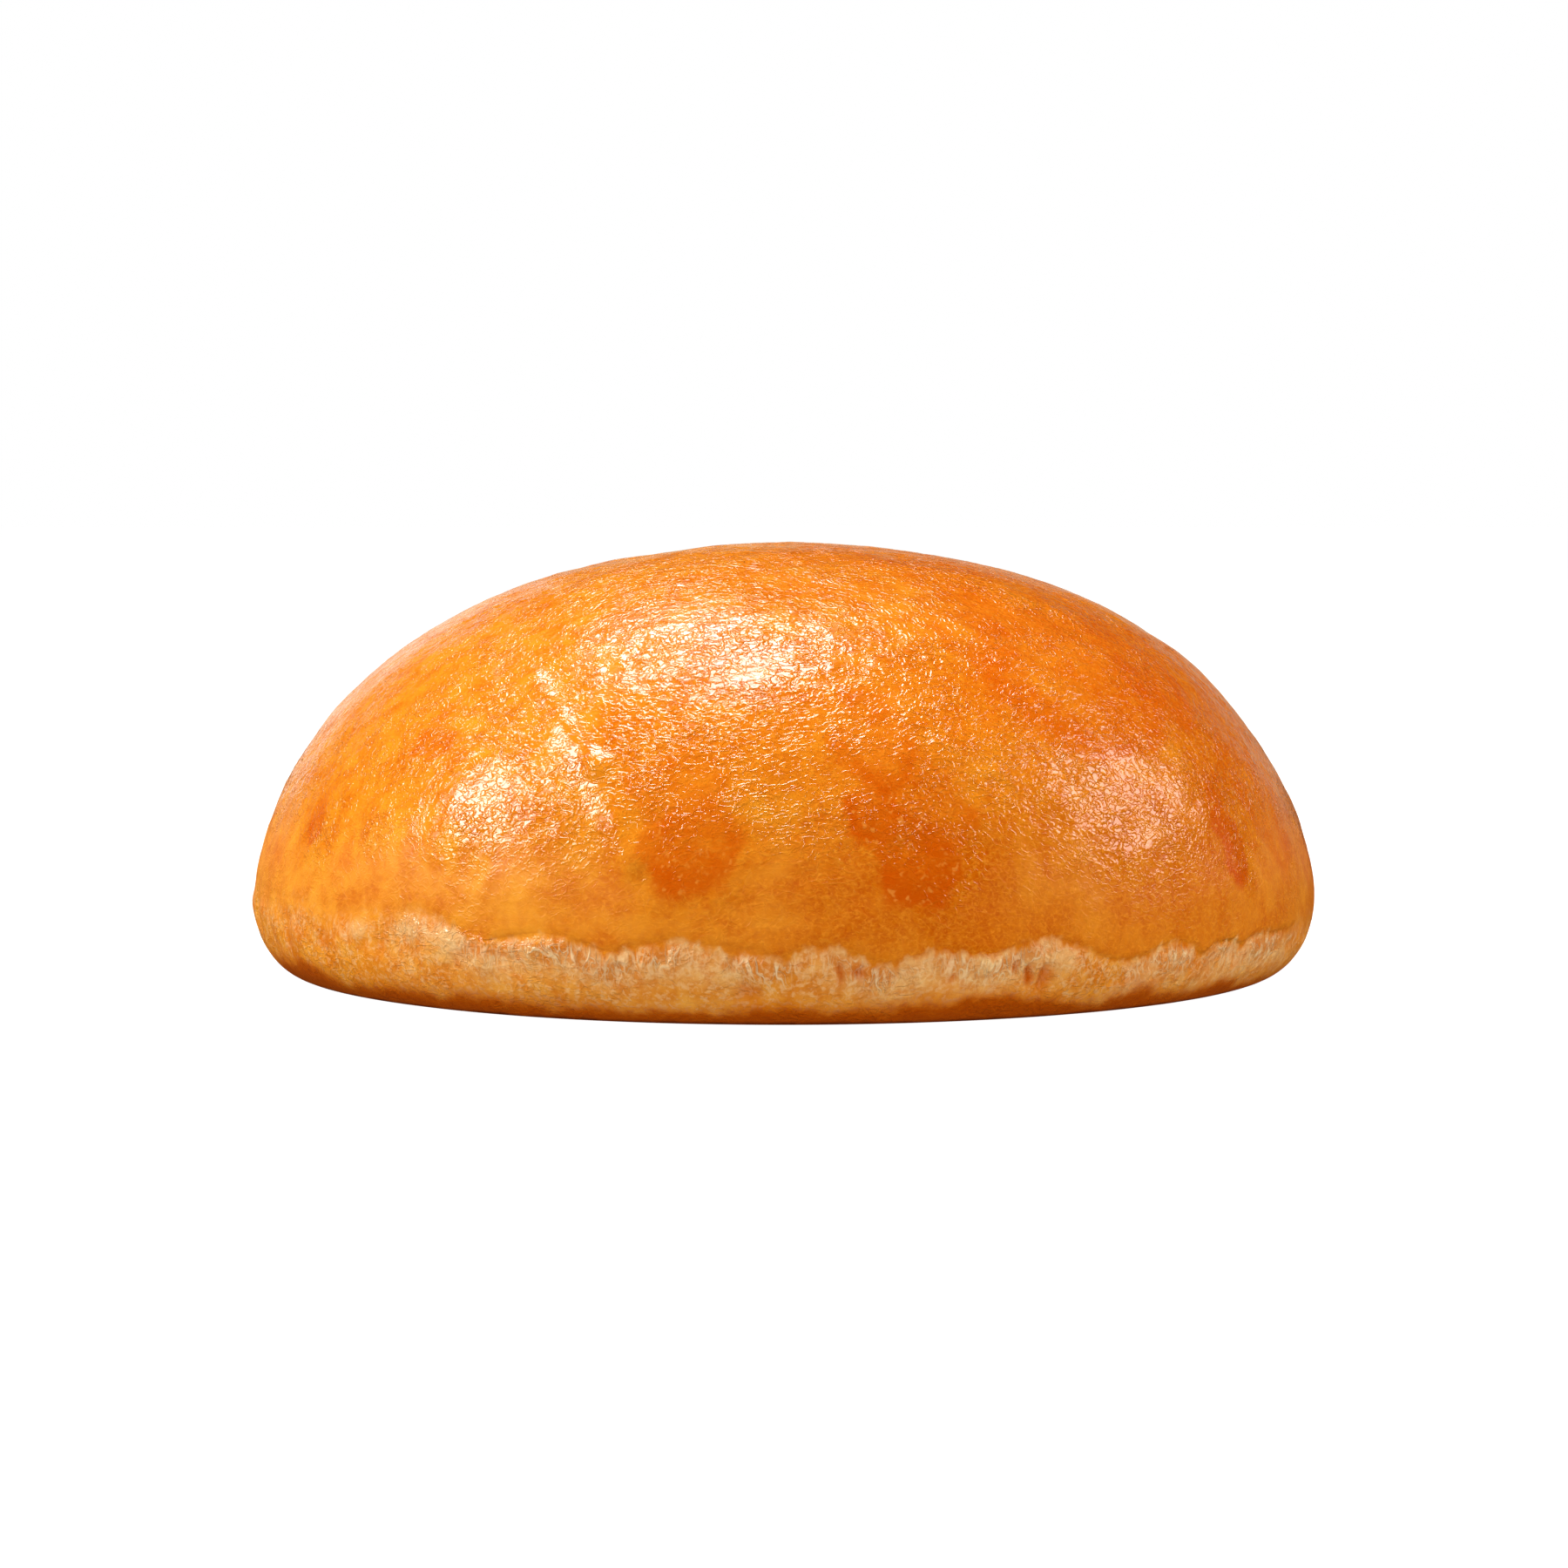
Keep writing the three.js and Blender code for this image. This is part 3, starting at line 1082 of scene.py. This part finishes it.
def baked_bun():
    turn, radius, height, zone, faces, face_zones = build_rings()
    points = shape_skin(turn, radius, height, zone, faces)
    mesh = bpy.data.meshes.new("baked_bun")
    mesh.from_pydata((points * MM).tolist(), [], faces)
    mesh.shade_smooth()
    slots = {"crust": 0, "waist": 0, "face": 1}
    mesh.polygons.foreach_set("material_index", [slots[name] for name in face_zones])
    for name, values in skin_marks(turn, height, zone, points).items():
        layer = mesh.attributes.new(name, "FLOAT", "POINT")
        layer.data.foreach_set("value", values.astype(np.float32))
    add_uvs(mesh, turn, radius, height, face_zones)
    mesh.update()
    bun = bpy.data.objects.new("baked_bun", mesh)
    bpy.context.collection.objects.link(bun)
    mottle, wrinkles = oven_mottle(), skin_wrinkles()
    for material in (baked_skin, toasted_crumb):
        mesh.materials.append(material(mottle, wrinkles))
    return bun


# ---------------------------------------------------------------------------- studio


def pale_floor():
    mesh = bpy.data.meshes.new("floor")
    signs = [(-1, -1), (1, -1), (1, 1), (-1, 1)]
    corners = [(x * FLOOR_HALF_WIDTH, y * FLOOR_HALF_WIDTH, -FLOOR_DROP) for x, y in signs]
    mesh.from_pydata(corners, [], [(0, 1, 2, 3)])
    floor = bpy.data.objects.new("floor", mesh)
    bpy.context.collection.objects.link(floor)
    material, _, shader = new_material("pale_floor")
    shader.inputs["Base Color"].default_value = (FLOOR_GREY, FLOOR_GREY, FLOOR_GREY, 1)
    shader.inputs["Roughness"].default_value = 1.0
    shader.inputs["Specular IOR Level"].default_value = 0.0
    shader.inputs["Emission Color"].default_value = WHITE
    shader.inputs["Emission Strength"].default_value = 1.0
    mesh.materials.append(material)
    floor.visible_diffuse = False
    floor.visible_glossy = False
    floor.visible_shadow = False
    return floor


def pale_world():
    """White to the eye, and dim on the bun but for a low glow from the backdrop behind it."""
    world = bpy.data.worlds.new("studio")
    world.use_nodes = True
    world.cycles.sampling_method = "NONE"
    bpy.context.scene.world = world
    tree = world.node_tree
    tree.nodes.clear()
    path = add_node(tree, "ShaderNodeLightPath")
    where = add_node(tree, "ShaderNodeTexCoord").outputs["Generated"]
    parts = add_node(tree, "ShaderNodeSeparateXYZ", {0: where})
    rising = map_range(tree, parts.outputs["Z"], -0.04, 0.06)
    falling = map_range(tree, parts.outputs["Z"], 0.05, 0.3, 1.0, 0.0)
    behind = map_range(tree, parts.outputs["Y"], 0.62, 0.98)
    band = times(tree, rising, times(tree, falling, falling))
    glow = times(tree, band, behind)
    dim = plus(tree, times(tree, glow, BACKDROP_GLOW), BACKDROP_DIM)
    strength = mix_numbers(tree, path.outputs["Is Camera Ray"], dim, 1.0)
    colour = mix_colours(tree, path.outputs["Is Camera Ray"], WARM_GLOW, WHITE)
    back = add_node(tree, "ShaderNodeBackground", {"Color": colour, "Strength": strength})
    add_node(tree, "ShaderNodeOutputWorld", {"Surface": back.outputs[0]})


def soft_light(name, turn, elevation, distance, width, depth, watts, colour):
    """A soft box that faces the bun. Turn and elevation are degrees, the rest metres and watts."""
    light = bpy.data.lights.new(name, "AREA")
    light.shape = "ELLIPSE"
    light.size = width
    light.size_y = depth
    light.energy = watts
    light.color = colour
    lamp = bpy.data.objects.new(name, light)
    around, up = math.radians(turn), math.radians(elevation)
    level = math.cos(up)
    aim = Vector((math.sin(around) * level, -math.cos(around) * level, math.sin(up)))
    lamp.location = Vector((0, 0, LIGHTS_AIM_HEIGHT)) + aim * distance
    lamp.rotation_euler = aim.to_track_quat("Z", "Y").to_euler()
    lamp.visible_camera = False
    bpy.context.collection.objects.link(lamp)
    return lamp


def gloss_light(name, turn, elevation, distance, width, depth, watts, colour):
    """A soft box that shows in the gloss of the bun but does not light it."""
    lamp = soft_light(name, turn, elevation, distance, width, depth, watts, colour)
    lamp.visible_diffuse = False


def fill_light(name, turn, elevation, watts):
    """A large soft box that lights the bun but never shows in its gloss."""
    lamp = soft_light(
        name, turn, elevation, FILL_DISTANCE, FILL_SIZE, FILL_SIZE, watts, FILL_COLOUR
    )
    lamp.visible_glossy = False
    lamp.data.cycles.use_multiple_importance_sampling = False


def even_fill():
    """Soft boxes evenly on every side, so that no part of the bun falls into shade."""
    fill_light("fill_top", 0, 90, EVEN_FILL)
    fill_light("fill_bottom", 0, -90, EVEN_FILL)
    step = 360 / FILLS_IN_A_RING
    for i in range(FILLS_IN_A_RING):
        fill_light(f"fill_high_{i + 1}", step * i, RING_ELEVATION, EVEN_FILL)
        fill_light(f"fill_low_{i + 1}", step * (i + 0.5), -RING_ELEVATION, EVEN_FILL)


def studio():
    """Each box has its turn, elevation, distance, width, depth, watts and colour in that order."""
    pale_floor()
    pale_world()
    even_fill()
    soft_light("overhead_box", -158, 71, 0.7, 0.28, 0.46, 4.4, (1.0, 0.96, 0.94))
    gloss_light("overhead_halo", -158, 68, 0.72, 0.46, 0.66, 0.75, (1.0, 0.88, 0.76))
    gloss_light("back_strip", -164, 8, 1.0, 0.3, 0.3, 0.13, (1.0, 0.95, 0.9))
    soft_light("left_box", -80, 38, 0.7, 0.25, 0.25, 2.5, (1.0, 0.93, 0.87))
    gloss_light("left_halo", -80, 36, 0.72, 0.4, 0.4, 1.1, (1.0, 0.92, 0.84))
    fill_light("fill_right", 60, -12, 2.4)
    gloss_light("right_halo", 90, 33, 0.72, 0.42, 0.42, 0.35, (1.0, 0.88, 0.80))
    fill_light("fill_left", -85, 0, 1.8)
    fill_light("fill_front", -20, 12, 3.4)
    soft_light("right_box", 90, 34, 0.7, 0.32, 0.32, 1.75, (1.0, 0.90, 0.83))
    bpy.context.scene.view_settings.view_transform = "Standard"


def camera():
    lens = bpy.data.cameras.new("camera")
    lens.lens = CAMERA_LENS
    lens.sensor_width = CAMERA_SENSOR
    lens.clip_start = 0.01
    eye = bpy.data.objects.new("camera", lens)
    up = math.radians(CAMERA_ELEVATION)
    back = Vector((0, -math.cos(up), math.sin(up)))
    eye.location = Vector((0, 0, CAMERA_AIM_HEIGHT)) + back * CAMERA_DISTANCE
    eye.rotation_euler = back.to_track_quat("Z", "Y").to_euler()
    bpy.context.collection.objects.link(eye)
    bpy.context.scene.camera = eye


bun = baked_bun()
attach(bun, "root")
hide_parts("bun_top")
studio()
camera()
